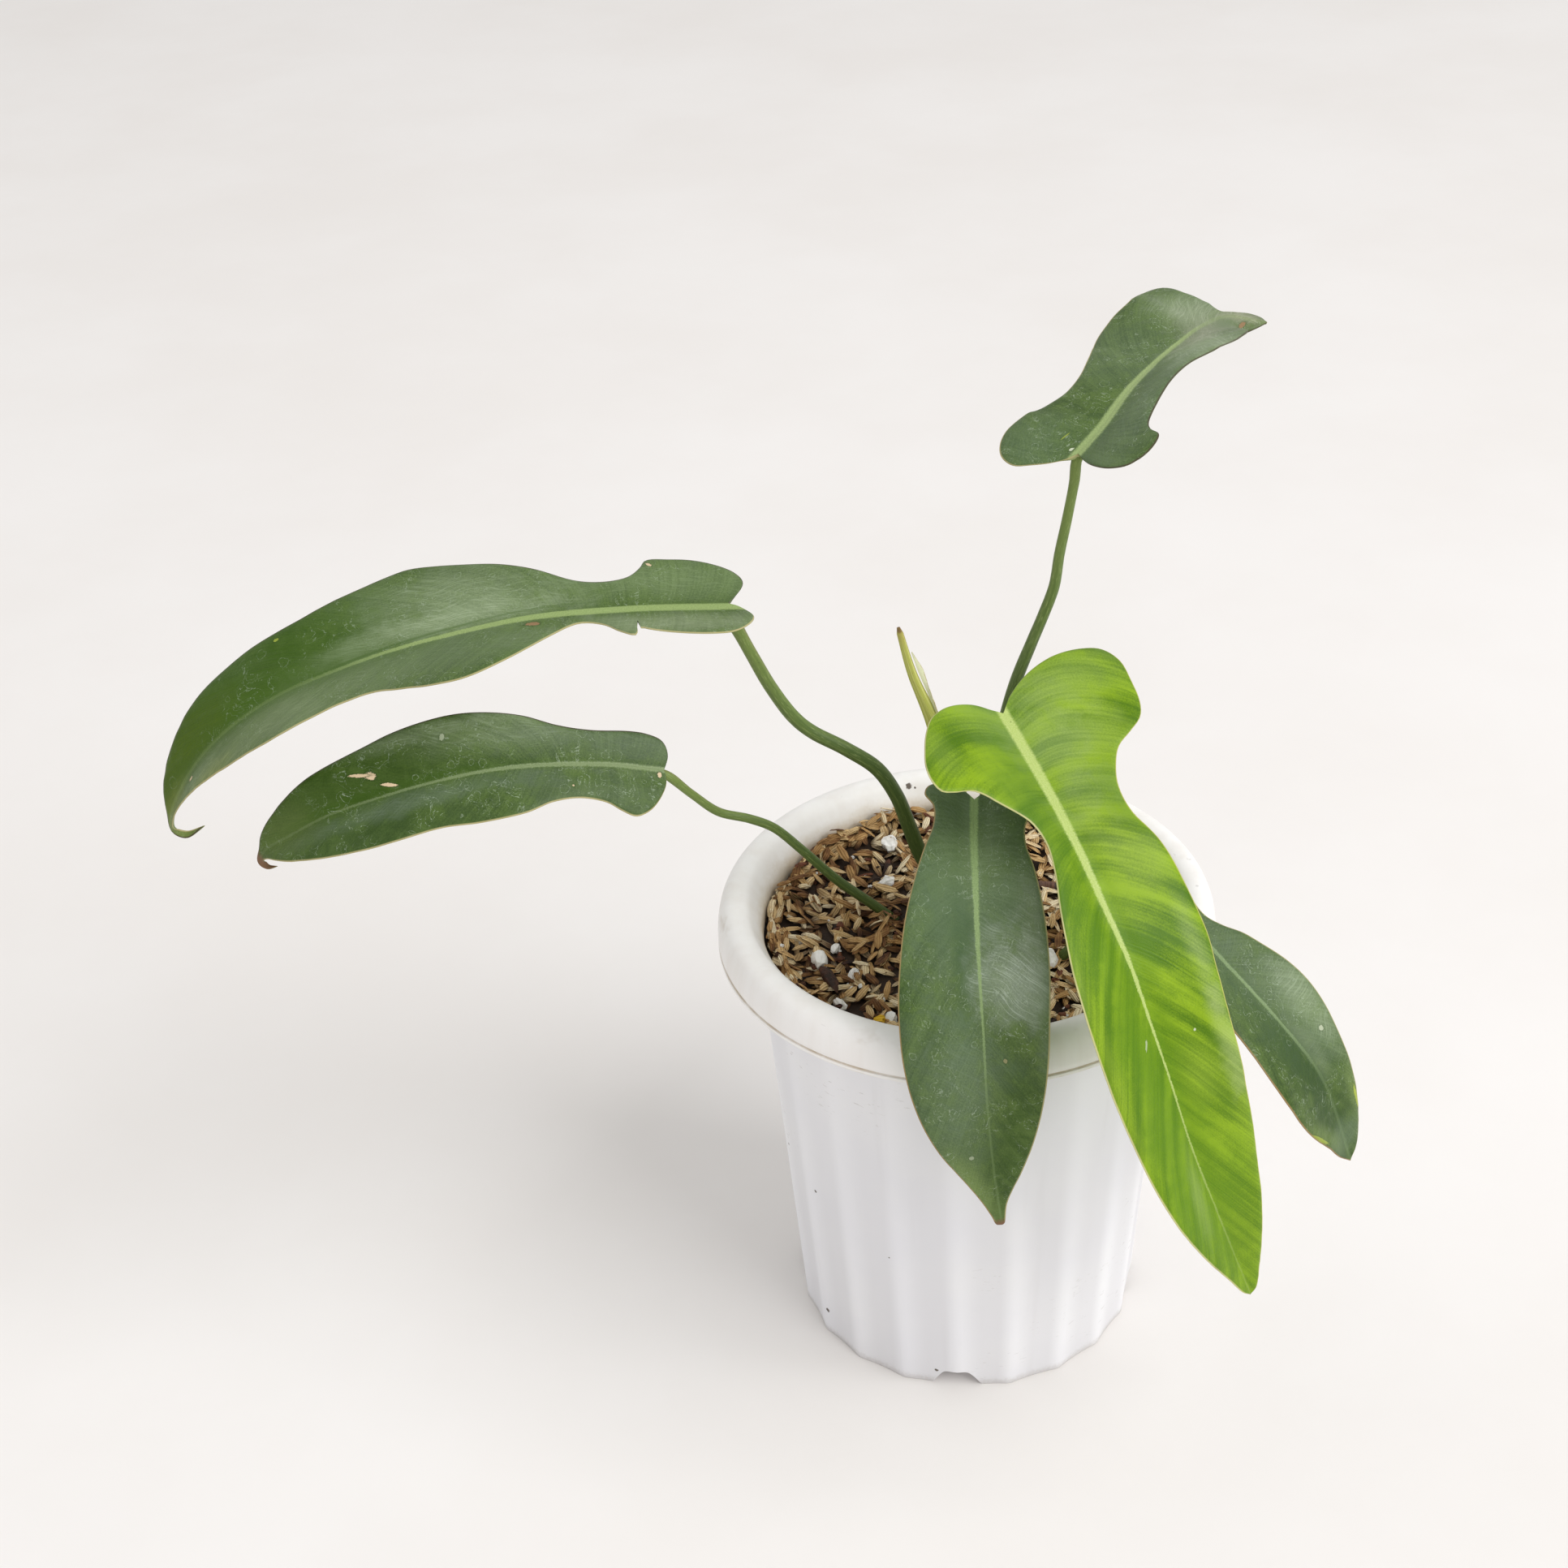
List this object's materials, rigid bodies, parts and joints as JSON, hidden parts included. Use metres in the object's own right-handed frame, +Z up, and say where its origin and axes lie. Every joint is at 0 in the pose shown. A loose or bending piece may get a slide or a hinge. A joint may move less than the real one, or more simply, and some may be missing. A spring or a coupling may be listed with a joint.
{
  "type": "potted philodendron",
  "caption": "Potted hybrid philodendron: long arching blades on slender stalks, one of them lime green, in a fluted white pot of husky growing medium.",
  "frame": {"origin": "centre of the pot's underside, on the surface it stands on", "axes": "+Z up along the pot's axis, -Y towards the viewer of the picture, +X to the viewer's right; the long leaves reach out to -X"},
  "size_m": [0.418, 0.2429, 0.3728],
  "materials": {
    "pot": "satin white polypropylene",
    "growing_medium": "loose tan husks, bark and white perlite",
    "stem": "green, dull",
    "aerial_root": "dry, dark brown",
    "leaf_sheath": "pale green membrane, half clear, with a brown tip",
    "stalk": "green, smooth, finely streaked",
    "dark_leaf": "waxy dark green with a pale midrib",
    "lime_leaf": "waxy yellow green with darker bands between the veins"
  },
  "bodies": {
    "root": {"pot": "pot", "growing_medium": "growing_medium", "stem": "stem", "aerial_root": "aerial_root", "leaf_sheath": "leaf_sheath", "stalk_upper_left": "stalk", "stalk_lower_left": "stalk", "stalk_top": "stalk", "stalk_lime": "stalk", "stalk_front": "stalk", "stalk_right": "stalk", "blade_upper_left": "dark_leaf", "blade_lower_left": "dark_leaf", "blade_top": "dark_leaf", "blade_lime": "lime_leaf", "blade_front": "dark_leaf", "blade_right": "dark_leaf"}
  },
  "joints": []
}
